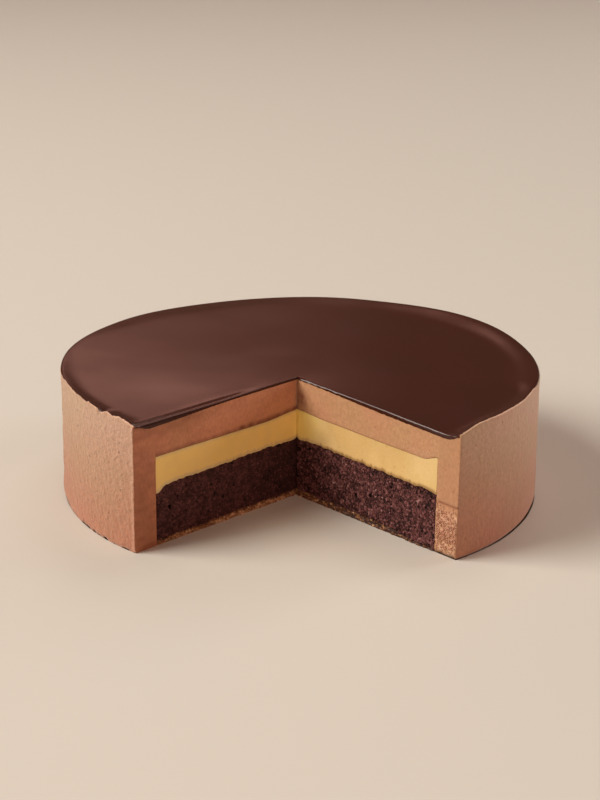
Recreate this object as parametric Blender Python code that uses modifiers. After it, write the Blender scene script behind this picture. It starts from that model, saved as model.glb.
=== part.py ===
"""Round layered chocolate cake with a quarter-like wedge taken out of its front.

From the outside in: a thin glaze on top, a mousse coat that forms the wall and the
upper layer, a custard disc, a sponge disc and a thin biscuit base.  Metres, +Z up.
The origin is the centre of the round cake, on its underside; the missing wedge
opens towards -Y.
"""

import math

import bmesh
import bpy
from mathutils import Vector, noise

# Overall size
CAKE_RADIUS = 0.090
CAKE_HEIGHT = 0.0468

# Layers, measured from the underside
MOUSSE_WALL = 0.0095            # mousse round the filling
GLAZE_THICKNESS = 0.0017
CUSTARD_TOP = 0.0333
SPONGE_TOP = 0.0229
BASE_TOP = 0.0020
JOINT_GAP = 0.0003              # clear space between touching layers

# How uneven the layers are
CUSTARD_WAVE = 0.0003
CUSTARD_MENISCUS = 0.0020       # the custard climbs the wall at its right end
SPONGE_WAVE = 0.0004
SPONGE_DOME = 0.0011            # the sponge is this much lower at its edge
SPONGE_SHOULDER = 0.0024        # extra drop of its rounded left edge
BASE_WAVE = 0.00025
BASE_TILT = 0.0012              # the base is thicker on the left than on the right

# Glaze rim and the ragged mousse lip round it
RIM_ROUND = 0.0014
LIP_WIDTH = 0.0008
LIP_RAGGED = 0.0005
FOOT_ROUND = 0.0012             # soft lower edge of the wall
FOOT_RAGGED = 0.0004

# The missing wedge
NOTCH_APEX = Vector((-0.0014, -0.0158, 0.0))
NOTCH_LEFT = math.radians(-135.7)
NOTCH_RIGHT = math.radians(-45.4)
NOTCH_FACE = 0.082              # the part of a cut face that carries relief
NOTCH_REACH = 0.125             # the cutter runs on past the rim to here
NOTCH_MARGIN = 0.005            # and this far above and below the cake

# Segments round the cake
OUTER_SEGMENTS = 128
INNER_SEGMENTS = 80

FILLING_RADIUS = CAKE_RADIUS - MOUSSE_WALL
LAYER_RADIUS = FILLING_RADIUS - JOINT_GAP
GLAZE_RADIUS = CAKE_RADIUS - LIP_WIDTH - JOINT_GAP
GLAZE_BOTTOM = CAKE_HEIGHT - GLAZE_THICKNESS
MOUSSE_TOP = GLAZE_BOTTOM - JOINT_GAP

# Share of the layer radius at which an uneven surface has a ring of points
FINE_RINGS = (0.15, 0.30, 0.45, 0.60, 0.74, 0.86, 0.93, 0.97, 1.0)
COARSE_RINGS = (0.30, 0.60, 0.82, 1.0)


# ---------------------------------------------------------------- small helpers

def smooth_step(low, high, value):
    """0 below low, 1 above high, and a soft rise between."""
    share = min(1.0, max(0.0, (value - low) / (high - low)))
    return share * share * (3.0 - 2.0 * share)


def ripple(x, y, size, shift):
    """Smooth uneven pattern between about -1 and 1, with lumps of the given size."""
    return 1.6 * noise.noise(Vector((x / size + shift, y / size - shift, shift)))


def rightness(x):
    """0 on the left side of the cake and 1 on the right side."""
    return smooth_step(-0.3 * CAKE_RADIUS, 0.3 * CAKE_RADIUS, x)


# ------------------------------------------------- heights of the uneven layers

def custard_top_height(x, y):
    edge = smooth_step(0.92 * LAYER_RADIUS, LAYER_RADIUS, math.hypot(x, y))
    climb = CUSTARD_MENISCUS * edge * rightness(x)
    return CUSTARD_TOP + CUSTARD_WAVE * ripple(x, y, 0.030, 3.1) + climb


def sponge_top_height(x, y):
    share = min(1.0, math.hypot(x, y) / LAYER_RADIUS)
    dome = SPONGE_DOME * share ** 2
    shoulder = SPONGE_SHOULDER * smooth_step(0.94, 1.0, share) * (1.0 - 0.8 * rightness(x))
    return SPONGE_TOP + SPONGE_WAVE * ripple(x, y, 0.016, 7.7) - dome - shoulder


def base_top_height(x, y):
    tilt = BASE_TILT * x / LAYER_RADIUS
    return BASE_TOP + BASE_WAVE * ripple(x, y, 0.018, 1.9) - tilt


# ------------------------------------------------------------- building helpers

def new_collection(name):
    collection = bpy.data.collections.new(name)
    bpy.context.scene.collection.children.link(collection)
    return collection


def make_material(name, colour, roughness):
    material = bpy.data.materials.new(name)
    material.use_nodes = True
    shader = material.node_tree.nodes["Principled BSDF"]
    shader.inputs["Base Color"].default_value = (*colour, 1.0)
    shader.inputs["Roughness"].default_value = roughness
    shader.inputs["Metallic"].default_value = 0.0
    material.diffuse_color = (*colour, 1.0)
    return material


def turned(name, profile, segments, collection):
    """Turn a profile of (radius, height) points about Z.

    The profile starts on the axis at the top, runs out and down the outer side, and
    comes back to the axis underneath.
    """
    line = bpy.data.meshes.new(name + "_profile")
    points = [(radius, 0.0, height) for radius, height in profile]
    steps = [(i, i + 1) for i in range(len(points) - 1)]
    line.from_pydata(points, steps, [])
    piece = bpy.data.objects.new(name, line)
    collection.objects.link(piece)

    screw = piece.modifiers.new("Turn", 'SCREW')
    screw.axis = 'Z'
    screw.angle = math.tau
    screw.steps = segments
    screw.render_steps = segments
    screw.use_merge_vertices = True
    screw.merge_threshold = 0.00005

    depsgraph = bpy.context.evaluated_depsgraph_get()
    mesh = bpy.data.meshes.new_from_object(piece.evaluated_get(depsgraph))
    mesh.name = name
    piece.modifiers.clear()
    piece.data = mesh
    bpy.data.meshes.remove(line)
    return piece


def follow_height(piece, level, height, offset):
    """Move the points of a piece that lie at a level onto an uneven surface."""
    for vertex in piece.data.vertices:
        x, y, z = vertex.co
        if abs(z - level) < 1e-6:
            vertex.co.z = height(x, y) + offset


def ring_points(radius, rings, height, inwards):
    """Profile points of one surface, from the axis outwards or the other way."""
    points = [(0.0, height)] + [(radius * share, height) for share in rings]
    return points[::-1] if inwards else points


def cut_sides():
    """Direction along each cut face and its normal into the cake."""
    sides = {}
    for side, angle, turn in (("left", NOTCH_LEFT, -1.0), ("right", NOTCH_RIGHT, 1.0)):
        along = Vector((math.cos(angle), math.sin(angle), 0.0))
        inward = Vector((-along.y, along.x, 0.0)) * turn
        sides[side] = (along, inward)
    return sides


def notch_cutter(name, levels, spacing, relief, collection):
    """Wedge-shaped cutter whose two cut faces carry the relief of one layer.

    relief(side, along, height) says how far a point of the face is pushed into the
    cake.  The faces have a row of points at each level and a column every spacing.
    """
    columns = math.ceil(NOTCH_FACE / spacing)
    reaches = [NOTCH_FACE * (i + 1) / columns for i in range(columns)] + [NOTCH_REACH]
    sides = cut_sides()
    places = [("right", 0.0)]
    places += [("right", reach) for reach in reaches]
    places += [("left", reach) for reach in reversed(reaches)]

    def place(side, reach, height):
        along, inward = sides[side]
        push = 0.0
        if reach > 0.0:
            push = relief(side, reach, height) * smooth_step(0.0, 0.003, reach)
        point = NOTCH_APEX + along * reach + inward * push
        return Vector((point.x, point.y, height))

    cutter_mesh = bmesh.new()
    row = [cutter_mesh.verts.new(place(side, reach, levels[0])) for side, reach in places]
    bmesh.ops.contextual_create(cutter_mesh, geom=row)
    edges = list(cutter_mesh.edges)
    for level in levels[1:]:
        raised = bmesh.ops.extrude_edge_only(cutter_mesh, edges=edges)["geom"]
        copies = [item for item in raised if isinstance(item, bmesh.types.BMVert)]
        row = [next(v for v in copies if (v.co - old.co).length < 1e-9) for old in row]
        for corner, (side, reach) in zip(row, places):
            corner.co = place(side, reach, level)
        edges = [item for item in raised if isinstance(item, bmesh.types.BMEdge)
                 and item.verts[0] in row and item.verts[1] in row]
    bmesh.ops.contextual_create(cutter_mesh, geom=row)
    bmesh.ops.recalc_face_normals(cutter_mesh, faces=cutter_mesh.faces)

    mesh = bpy.data.meshes.new(name)
    cutter_mesh.to_mesh(mesh)
    cutter_mesh.free()
    cutter = bpy.data.objects.new(name, mesh)
    cutter.hide_render = True
    cutter.display_type = 'WIRE'
    collection.objects.link(cutter)
    return cutter


def face_levels(low, high, step):
    """Cutter levels: evenly spaced over one layer, with a margin at both ends."""
    rows = max(1, round((high - low) / step))
    inner = [low + (high - low) * i / rows for i in range(rows + 1)]
    return [-NOTCH_MARGIN] + inner + [CAKE_HEIGHT + NOTCH_MARGIN]


def finish_piece(piece, cutter, material):
    """Take the wedge out of a piece and give it its material."""
    cut = piece.modifiers.new("Notch", 'BOOLEAN')
    cut.operation = 'DIFFERENCE'
    cut.solver = 'EXACT'
    cut.object = cutter
    piece.data.materials.clear()
    piece.data.materials.append(material)
    piece.data.shade_smooth()
    piece.data.set_sharp_from_angle(angle=math.radians(35.0))


# -------------------------------------------------------- relief of the cut faces

def side_shift(side):
    return 0.0 if side == "left" else 50.0


def mousse_relief(side, along, height):
    """Faint knife waves, and a coarse airy foot at the outer end of the right cut."""
    wave = 0.00012 * noise.noise(Vector((along / 0.004, height / 0.020, side_shift(side))))
    if side == "left":
        return wave
    rough = smooth_step(0.020, 0.014, height) * smooth_step(0.066, 0.070, along)
    grain = noise.noise(Vector((along / 0.0025, height / 0.0025, 9.0)))
    return wave + 0.0004 * rough * grain


def custard_relief(side, along, height):
    """The soft custard is drawn in a little between its harder neighbours."""
    middle = (CUSTARD_TOP + SPONGE_TOP) / 2.0
    half = (CUSTARD_TOP - SPONGE_TOP) / 2.0
    hollow = 0.00015 * max(0.0, 1.0 - ((height - middle) / half) ** 2)
    return hollow + 0.00008 * noise.noise(Vector((along / 0.006, height / 0.02, 4.0)))


def sponge_relief(side, along, height):
    """Torn crumb: lumps with deep pores between them."""
    shift = side_shift(side)
    lumps = noise.noise(Vector((along / 0.0041, height / 0.0037, 1.0 + shift)))
    pores = noise.noise(Vector((along / 0.0023, height / 0.0021, 6.0 + shift)))
    return 0.0005 * lumps + 0.0011 * smooth_step(0.12, 0.55, pores)


def base_relief(side, along, height):
    """Crumbled edge of the thin base."""
    shift = side_shift(side)
    return 0.0005 * noise.noise(Vector((along / 0.0032, height / 0.004, 12.0 + shift)))


def glaze_relief(side, along, height):
    """The glaze rounds over at the cut and hangs out a little on the left."""
    depth = (CAKE_HEIGHT - height) / GLAZE_THICKNESS
    rounding = 0.0007 * max(0.0, 1.0 - depth / 0.6) ** 2
    ragged = 0.00015 * noise.noise(Vector((along / 0.005, 0.0, side_shift(side))))
    overhang = 0.0004 if side == "left" else 0.0
    return rounding + ragged - overhang


# ------------------------------------------------------------------- the layers

def rim_arc(steps):
    """Rounded outer edge of the glaze, from its top down to its side."""
    centre_radius = GLAZE_RADIUS - RIM_ROUND
    centre_height = CAKE_HEIGHT - RIM_ROUND
    arc = []
    for i in range(steps + 1):
        angle = math.pi / 2.0 * (1.0 - i / steps)
        arc.append((centre_radius + RIM_ROUND * math.cos(angle),
                    centre_height + RIM_ROUND * math.sin(angle)))
    return arc


def make_glaze(parts, cutters):
    profile = [(0.0, CAKE_HEIGHT), (0.5 * GLAZE_RADIUS, CAKE_HEIGHT)]
    profile += rim_arc(4)
    profile += [(GLAZE_RADIUS - 0.0002, GLAZE_BOTTOM), (0.5 * GLAZE_RADIUS, GLAZE_BOTTOM)]
    profile += [(0.0, GLAZE_BOTTOM)]
    glaze = turned("glaze", profile, OUTER_SEGMENTS, parts)
    levels = [-NOTCH_MARGIN, MOUSSE_TOP]
    levels += [CAKE_HEIGHT - GLAZE_THICKNESS * share for share in (0.6, 0.3, 0.1)]
    levels += [CAKE_HEIGHT, CAKE_HEIGHT + NOTCH_MARGIN]
    cutter = notch_cutter("glaze_notch", levels, 0.005, glaze_relief, cutters)
    finish_piece(glaze, cutter, make_material("dark_glaze", (0.085, 0.030, 0.020), 0.15))


def mousse_profile():
    wall_top = CAKE_HEIGHT - 0.0014
    lip_inner = CAKE_RADIUS - LIP_WIDTH
    profile = [(0.0, MOUSSE_TOP), (0.5 * lip_inner, MOUSSE_TOP), (lip_inner, MOUSSE_TOP)]
    profile += [(lip_inner + 0.0001, CAKE_HEIGHT), (CAKE_RADIUS - 0.0002, CAKE_HEIGHT)]
    profile += [(CAKE_RADIUS, wall_top)]
    profile += [(CAKE_RADIUS, wall_top * share) for share in (0.75, 0.50, 0.25)]
    profile += [(CAKE_RADIUS - 0.0002, 2.0 * FOOT_ROUND)]
    profile += [(CAKE_RADIUS - 0.4 * FOOT_ROUND, 0.4 * FOOT_ROUND)]
    profile += [(CAKE_RADIUS - FOOT_ROUND, 0.0), (FILLING_RADIUS, 0.0)]
    profile += [(FILLING_RADIUS, 0.5 * CUSTARD_TOP)]
    ceiling = ring_points(FILLING_RADIUS, FINE_RINGS, CUSTARD_TOP + JOINT_GAP, True)
    return profile + ceiling


def make_mousse(parts, cutters):
    mousse = turned("mousse", mousse_profile(), OUTER_SEGMENTS, parts)
    follow_height(mousse, CUSTARD_TOP + JOINT_GAP, custard_top_height, JOINT_GAP)

    def lip_height(x, y):
        return CAKE_HEIGHT - 0.0004 + LIP_RAGGED * ripple(x, y, 0.006, 5.3)

    follow_height(mousse, CAKE_HEIGHT, lip_height, 0.0)
    for vertex in mousse.data.vertices:
        x, y, z = vertex.co
        if abs(z - 0.4 * FOOT_ROUND) < 1e-6:
            vertex.co.z += FOOT_RAGGED * (0.5 + 0.5 * ripple(x, y, 0.007, 2.2))
    levels = face_levels(0.0, MOUSSE_TOP, 0.004)
    cutter = notch_cutter("mousse_notch", levels, 0.004, mousse_relief, cutters)
    finish_piece(mousse, cutter, make_material("mousse", (0.42, 0.21, 0.12), 0.60))


def make_custard(parts, cutters):
    bottom = SPONGE_TOP + JOINT_GAP
    profile = ring_points(LAYER_RADIUS, FINE_RINGS, CUSTARD_TOP, False)
    profile += ring_points(LAYER_RADIUS, FINE_RINGS, bottom, True)
    custard = turned("custard", profile, INNER_SEGMENTS, parts)
    follow_height(custard, CUSTARD_TOP, custard_top_height, 0.0)
    follow_height(custard, bottom, sponge_top_height, JOINT_GAP)
    levels = face_levels(0.018, CUSTARD_TOP + CUSTARD_MENISCUS, 0.004)
    cutter = notch_cutter("custard_notch", levels, 0.005, custard_relief, cutters)
    finish_piece(custard, cutter, make_material("custard", (0.66, 0.38, 0.11), 0.42))


def make_sponge(parts, cutters):
    bottom = BASE_TOP + JOINT_GAP
    profile = ring_points(LAYER_RADIUS, FINE_RINGS, SPONGE_TOP, False)
    profile += ring_points(LAYER_RADIUS, COARSE_RINGS, bottom, True)
    sponge = turned("sponge", profile, INNER_SEGMENTS, parts)
    follow_height(sponge, SPONGE_TOP, sponge_top_height, 0.0)
    follow_height(sponge, bottom, base_top_height, JOINT_GAP)
    levels = face_levels(0.0005, SPONGE_TOP + 0.001, 0.002)
    cutter = notch_cutter("sponge_notch", levels, 0.002, sponge_relief, cutters)
    finish_piece(sponge, cutter, make_material("dark_sponge", (0.045, 0.016, 0.014), 0.85))


def make_base(parts, cutters):
    profile = ring_points(LAYER_RADIUS, COARSE_RINGS, BASE_TOP, False)
    profile += [(LAYER_RADIUS - 0.0002, 0.0), (0.0, 0.0)]
    base = turned("base", profile, INNER_SEGMENTS, parts)
    follow_height(base, BASE_TOP, base_top_height, 0.0)
    levels = face_levels(0.0, BASE_TOP + BASE_TILT, 0.0015)
    cutter = notch_cutter("base_notch", levels, 0.002, base_relief, cutters)
    finish_piece(base, cutter, make_material("golden_base", (0.40, 0.20, 0.07), 0.70))


def main():
    for item in list(bpy.data.objects):
        bpy.data.objects.remove(item, do_unlink=True)
    parts = new_collection("layered_chocolate_cake")
    cutters = new_collection("notch_cutters")
    make_glaze(parts, cutters)
    make_mousse(parts, cutters)
    make_custard(parts, cutters)
    make_sponge(parts, cutters)
    make_base(parts, cutters)


main()
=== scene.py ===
import math
import random

import bmesh
import bpy
from mathutils import Euler, Matrix, Vector, noise


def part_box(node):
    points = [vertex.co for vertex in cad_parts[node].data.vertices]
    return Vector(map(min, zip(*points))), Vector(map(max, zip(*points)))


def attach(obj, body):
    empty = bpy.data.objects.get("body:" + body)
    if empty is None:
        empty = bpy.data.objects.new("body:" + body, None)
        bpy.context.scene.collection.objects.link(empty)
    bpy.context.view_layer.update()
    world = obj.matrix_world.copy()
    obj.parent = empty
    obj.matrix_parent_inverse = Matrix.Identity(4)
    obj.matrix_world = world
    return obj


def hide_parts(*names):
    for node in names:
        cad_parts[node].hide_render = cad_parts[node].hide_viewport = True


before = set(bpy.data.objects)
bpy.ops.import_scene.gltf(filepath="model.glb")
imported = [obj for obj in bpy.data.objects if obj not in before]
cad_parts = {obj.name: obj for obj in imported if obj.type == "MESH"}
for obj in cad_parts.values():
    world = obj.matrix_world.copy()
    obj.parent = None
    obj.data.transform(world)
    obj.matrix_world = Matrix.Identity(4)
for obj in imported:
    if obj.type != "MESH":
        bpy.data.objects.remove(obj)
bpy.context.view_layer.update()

mm = 0.001
slack = 0.01 * mm                        # points this close to a cut or a circle lie on it
levelSlack = 1e-6                        # the same for flat levels, in metres

# camera: fitted to the round top and to the two cut edges
cameraSettings = {
    "lens": 76.5,                        # mm, on a 36 mm sensor
    "pitch": 19.83,                      # degrees below the horizon
    "roll": 0.82,
    "distance": 0.6439,
    "aim": (-0.0004, 0.0, 0.0323),
}


def addCamera(settings):
    camera = bpy.data.objects.new("camera", bpy.data.cameras.new("camera"))
    bpy.context.scene.collection.objects.link(camera)
    camera.data.lens = settings["lens"]
    camera.data.sensor_width = 36.0
    camera.data.clip_start = 0.01
    camera.data.clip_end = 50.0
    tilt = Euler((math.radians(90.0 - settings["pitch"]), 0.0, 0.0)).to_matrix()
    turn = tilt @ Matrix.Rotation(math.radians(settings["roll"]), 3, "Z")
    back = turn @ Vector((0.0, 0.0, settings["distance"]))
    camera.matrix_world = Matrix.Translation(Vector(settings["aim"]) + back) @ turn.to_4x4()
    bpy.context.scene.camera = camera


# soft studio lights, placed by their bearing and their angle above the floor
lightSettings = {
    # name: bearing, angle, distance, roll, width, height, watts, colour
    "key": (-170.0, 40.0, 2.6, 0.0, 1.5, 1.5, 87.0, (1.0, 0.93, 0.84)),
    "front": (-74.0, 34.0, 2.96, 0.0, 2.4, 1.8, 23.5, (1.0, 0.61, 0.48)),
    "side": (25.0, 16.0, 2.6, 0.0, 1.2, 0.8, 30.0, (1.0, 0.93, 0.86)),
    "back": (70.0, 60.0, 2.6, 0.0, 1.1, 1.1, 11.0, (1.0, 0.90, 0.80)),
    "sheen": (97.4, 25.0, 2.4, -20.0, 0.65, 0.40, 1.30, (1.0, 0.476, 0.38)),
}
lightTarget = Vector((0.0, 0.0, 0.02))
worldSettings = {"colour": (1.0, 0.55, 0.40), "strength": 0.11}


def onDome(bearing, angle, distance):    # a point round the cake, by bearing and height angle
    flat = distance * math.cos(math.radians(angle))
    rise = distance * math.sin(math.radians(angle))
    turn = math.radians(bearing)
    return Vector((flat * math.cos(turn), flat * math.sin(turn), rise))


def addLight(name, bearing, angle, distance, roll, width, height, watts, colour):
    lamp = bpy.data.lights.new(name, "AREA")
    lamp.shape = "RECTANGLE"
    lamp.size = width
    lamp.size_y = height
    lamp.energy = watts
    lamp.color = colour
    light = bpy.data.objects.new(name, lamp)
    light.location = lightTarget + onDome(bearing, angle, distance)
    facing = onDome(bearing, angle, distance).to_track_quat("Z", "Y")
    light.rotation_euler = (facing @ Euler((0.0, 0.0, math.radians(roll))).to_quaternion()).to_euler()
    light.visible_camera = False
    bpy.context.scene.collection.objects.link(light)


def setWorld():
    world = bpy.data.worlds.new("studio")
    world.use_nodes = True
    background = world.node_tree.nodes["Background"]
    background.inputs["Color"].default_value = (*worldSettings["colour"], 1.0)
    background.inputs["Strength"].default_value = worldSettings["strength"]
    bpy.context.scene.world = world


addCamera(cameraSettings)
for lightName, lightValues in lightSettings.items():
    addLight(lightName, *lightValues)
setWorld()
bpy.context.scene.view_settings.view_transform = "Standard"
print("camera and lights ready")

# the cake's layout, shared by every layer
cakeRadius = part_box("mousse")[1].x
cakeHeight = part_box("glaze")[1].z
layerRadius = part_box("custard")[1].x

cakeSettings = {
    "gap": 0.16 * mm,                    # seam between custard, sponge, base and mousse
    "seam": 0.05 * mm,                   # between glaze and mousse
    "lipWidth": 0.7 * mm,                # mousse left standing round the glaze
    "notchApex": (-1.4 * mm, -15.8 * mm),
    "notchLeft": -135.7,                 # degrees, directions of the two cuts
    "notchRight": -45.4,
    "creaseDepth": 0.7 * mm,             # slit where the two cuts meet
    "arris": 0.084 * mm,                 # worn upright edge between wall and cut
    "custardTop": 33.3 * mm,
    "custardWave": 0.3 * mm,
    "custardClimb": 2.0 * mm,            # at the wall, on the right only
    "custardPeak": 1.05 * mm,            # where the two cuts meet
    "peakBreadth": 16.0 * mm,
    "spongeTop": 22.9 * mm,
    "spongeWave": 0.4 * mm,
    "spongeDome": 1.1 * mm,
    "spongeShoulder": 2.4 * mm,
    # fine unevenness: height, size and shift of each wave
    "spongeFine": ((0.28 * mm, 4.5 * mm, 2.9), (0.26 * mm, 2.1 * mm, 6.1), (0.12 * mm, 1.1 * mm, 9.3)),
    "baseTop": 2.5 * mm,
    "baseWave": 0.25 * mm,
    "baseFine": ((0.28 * mm, 4.0 * mm, 8.4), (0.12 * mm, 1.5 * mm, 4.6)),
    "baseThinning": 1.3 * mm,            # towards the outer right
    "baseThinningLeft": 0.4 * mm,
    "baseLeast": 0.7 * mm,
}
gap = cakeSettings["gap"]
seam = cakeSettings["seam"]
fillRadius = layerRadius + gap
lipRadius = cakeRadius - cakeSettings["lipWidth"]
apex = Vector((*cakeSettings["notchApex"], 0.0))

cutSides = {}                            # direction along each cut, and into the cake
for cutName, cutAngle, cutTurn in (("left", "notchLeft", -1.0), ("right", "notchRight", 1.0)):
    turn = math.radians(cakeSettings[cutAngle])
    outwards = Vector((math.cos(turn), math.sin(turn), 0.0))
    cutSides[cutName] = (outwards, Vector((-outwards.y, outwards.x, 0.0)) * cutTurn)
creaseInward = (cutSides["left"][1] + cutSides["right"][1]).normalized()


def softStep(low, high, value):          # 0 at low, 1 at high, whichever is larger
    share = min(1.0, max(0.0, (value - low) / (high - low)))
    return share * share * (3.0 - 2.0 * share)


def creaseFade(along):                   # relief fades out where the two cuts meet
    return softStep(0.0, 1.5 * mm, along)


def lumps(x, y, z, size, shift=0.0):
    return noise.noise(Vector((x / size + shift, y / size - shift, z / size + shift)))


def ripple(x, y, size, shift):
    return 1.6 * noise.noise(Vector((x / size + shift, y / size - shift, shift)))


def ripples(x, y, waves):                # several waves of (height, size, shift) on each other
    return sum(height * ripple(x, y, size, shift) for height, size, shift in waves)


def cells(x, y, size, shift):
    # distance to the nearest of many scattered points, and two steady draws for that point
    distances, points = noise.voronoi(Vector((x / size, y / size, shift)))
    first = 0.5 + 0.5 * noise.cell(points[0] * 37.0)
    second = 0.5 + 0.5 * noise.cell(points[0] * 53.0 + Vector((7.0, 3.0, 1.0)))
    return distances[0] * size, first, second


def edgeDrop(distance, width):           # quarter-round edge, as a share of its width
    share = max(0.0, 1.0 - distance / width)
    return 1.0 - math.sqrt(max(0.0, 1.0 - share * share))


def rightness(x):
    return softStep(-0.3 * cakeRadius, 0.3 * cakeRadius, x)


def bearingOf(x, y):
    return math.degrees(math.atan2(y, x))


def cutPlace(side, x, y):                # how far along a cut, and how far from it
    along = cutSides[side][0]
    offset = Vector((x, y, 0.0)) - apex
    reach = max(0.0, offset.dot(along))
    return reach, (offset - along * reach).length


def custardTopHeight(x, y):
    edge = softStep(0.92 * layerRadius, layerRadius, math.hypot(x, y))
    climb = cakeSettings["custardClimb"] * edge * rightness(x)
    wave = cakeSettings["custardWave"] * ripple(x, y, 0.030, 3.1)
    fromApex = math.hypot(x - apex.x, y - apex.y)
    wave += cakeSettings["custardPeak"] * softStep(cakeSettings["peakBreadth"], 0.0, fromApex)
    return cakeSettings["custardTop"] + wave + climb


def spongeTopHeight(x, y):
    share = min(1.0, math.hypot(x, y) / layerRadius)
    dome = cakeSettings["spongeDome"] * share ** 2
    shoulder = cakeSettings["spongeShoulder"] * softStep(0.94, 1.0, share)
    shoulder *= 1.0 - 0.8 * rightness(x)
    wave = cakeSettings["spongeWave"] * ripple(x, y, 0.016, 7.7)
    fine = ripples(x, y, cakeSettings["spongeFine"])
    return cakeSettings["spongeTop"] + wave + fine - dome - shoulder


def baseTopHeight(x, y):
    thin = cakeSettings["baseThinning"] * softStep(26.0 * mm, 40.0 * mm, x)
    thin += cakeSettings["baseThinningLeft"] * softStep(-18.0 * mm, -38.0 * mm, x)
    fine = ripples(x, y, cakeSettings["baseFine"])
    wave = cakeSettings["baseWave"] * ripple(x, y, 0.018, 1.9)
    return max(cakeSettings["baseLeast"], cakeSettings["baseTop"] + wave + fine - thin)


# the top: the glaze climbs to a thin lip of mousse at the front, and rolls over the edge at the back
topSettings = {
    "glazeDepth": 0.85 * mm,
    "leftExtra": 1.35 * mm,              # thicker towards the outer end of each cut
    "rightExtra": 0.7 * mm,
    "leftLip": 1.45 * mm,                # the lip at the front, above the glaze's level
    "rightLip": 1.45 * mm,
    "rightLipExtra": 0.6 * mm,
    "lipBreak": (-140.4, 0.8 * mm),      # bearing where the left lip is broken down, and how deep
    "leftTipDrop": 1.3 * mm,             # the lip is lower at the tips of the two cuts
    "rightTipDrop": 3.0 * mm,
    "belowLip": 0.35 * mm,               # glaze this far below the lip where they meet
    "backLipDrop": 0.9 * mm,             # mousse this far below the glaze's rim at the back
    "frontBreadth": 6.5 * mm,            # how far in the glaze starts to climb or fall
    "backBreadth": 13.0 * mm,
    "leftBreadth": 5.0 * mm,
    "rimRoll": 0.5 * mm,
    "rollWidth": 1.0 * mm,
    "swell": 0.5 * mm,                   # the glaze lies higher at the back left
    "backSpread": 0.45 * mm,             # glaze reaches this much further out at the back
    "rightSag": 1.95 * mm,               # the right cut edge sinks towards its outer end
    "sagReach": 72.0 * mm,
    "sagPower": 1.15,
    "sagStart": 0.15 * mm,               # and stands this much higher at its inner end
    "sagBreadth": 30.0 * mm,
    "frontTaper": 0.75,                  # share of its depth that the glaze loses at the front lip
    "rightSqueeze": 1.15 * mm,           # the rim is drawn in where the cake is narrower
    "wave": 0.05 * mm,
}
# bearing, and height of the glaze's rim there over its level, round the back
backRim = ((0.0, 1.3 * mm), (38.0, 1.75 * mm), (74.0, 0.3 * mm), (115.0, -0.6 * mm), (145.0, 0.05 * mm),
           (180.0, 1.1 * mm))


def frontShare(bearing):                 # 1 where the lip stands up, 0 round the back
    if bearing > -90.0:
        return softStep(-11.0, -22.0, bearing)
    return softStep(-172.0, -161.0, bearing)


def frontLip(bearing):                   # the standing lip, above the glaze's level
    if bearing > -90.0:
        rise = topSettings["rightLip"]
        rise += topSettings["rightLipExtra"] * softStep(-24.0, -36.0, bearing)
        return rise - topSettings["rightTipDrop"] * softStep(-46.0, -55.0, bearing)
    breakBearing, breakDepth = topSettings["lipBreak"]
    notch = breakDepth * softStep(1.7, 0.5, abs(bearing - breakBearing))
    return topSettings["leftLip"] - notch - topSettings["leftTipDrop"] * softStep(-133.5, -128.5, bearing)


def backRimHeight(bearing):
    if bearing < -90.0:
        return backRim[-1][1]
    height = backRim[0][1]
    for (low, lowHeight), (high, highHeight) in zip(backRim, backRim[1:]):
        height += (highHeight - lowHeight) * softStep(low, high, bearing)
    return height


def lipHeight(bearing):
    front = frontShare(bearing)
    back = backRimHeight(bearing) - topSettings["backLipDrop"]
    return cakeHeight + front * frontLip(bearing) + (1.0 - front) * back


def topSag(x, y):
    along, distance = cutPlace("right", x, y)
    inside = max(0.0, lipRadius - math.hypot(x, y))
    sag = topSettings["rightSag"] * (along / topSettings["sagReach"]) ** topSettings["sagPower"]
    sag -= topSettings["sagStart"]
    sag *= softStep(topSettings["sagBreadth"], 0.0, distance)
    return sag * (0.5 + 0.5 * softStep(0.0, 7.0 * mm, inside))


def topLevel(x, y):
    # the glaze's top, before its outermost edge rolls over
    bearing = bearingOf(x, y)
    front = frontShare(bearing)
    inside = max(0.0, lipRadius - math.hypot(x, y))
    back = topSettings["backBreadth"]
    back += (topSettings["leftBreadth"] - back) * softStep(135.0, 165.0, abs(bearing))
    breadth = back + front * (topSettings["frontBreadth"] - back)
    swell = topSettings["swell"] * softStep(-15.0 * mm, -78.0 * mm, x) * softStep(-45.0 * mm, -10.0 * mm, y)
    rim = front * max(0.0, frontLip(bearing) - topSettings["belowLip"])
    rim += (1.0 - front) * backRimHeight(bearing)
    wave = topSettings["wave"] * ripple(x, y, 0.030, 4.4)
    climb = (rim - swell) * softStep(breadth, 0.0, inside) ** 1.3
    return cakeHeight + wave - topSag(x, y) + swell + climb


def glazeTopHeight(x, y):
    inside = max(0.0, lipRadius - math.hypot(x, y))
    roll = topSettings["rimRoll"] * edgeDrop(inside, topSettings["rollWidth"])
    return topLevel(x, y) - roll * (1.0 - frontShare(bearingOf(x, y)))


def glazeUnderHeight(x, y):
    leftAlong, leftDistance = cutPlace("left", x, y)
    rightAlong, rightDistance = cutPlace("right", x, y)
    inside = max(0.0, lipRadius - math.hypot(x, y))
    front = frontShare(bearingOf(x, y))
    leftShare = softStep(20.0 * mm, 74.0 * mm, leftAlong) ** 1.5 * softStep(7.0 * mm, 0.0, leftDistance)
    rightShare = softStep(4.0 * mm, 46.0 * mm, rightAlong) * softStep(6.0 * mm, 0.0, rightDistance)
    depth = topSettings["glazeDepth"]
    depth += topSettings["leftExtra"] * leftShare + topSettings["rightExtra"] * rightShare
    reach = 7.0 * mm - 3.0 * mm * rightness(x)
    depth *= 1.0 - topSettings["frontTaper"] * front * softStep(reach, 0.0, inside)
    return topLevel(x, y) - depth


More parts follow.
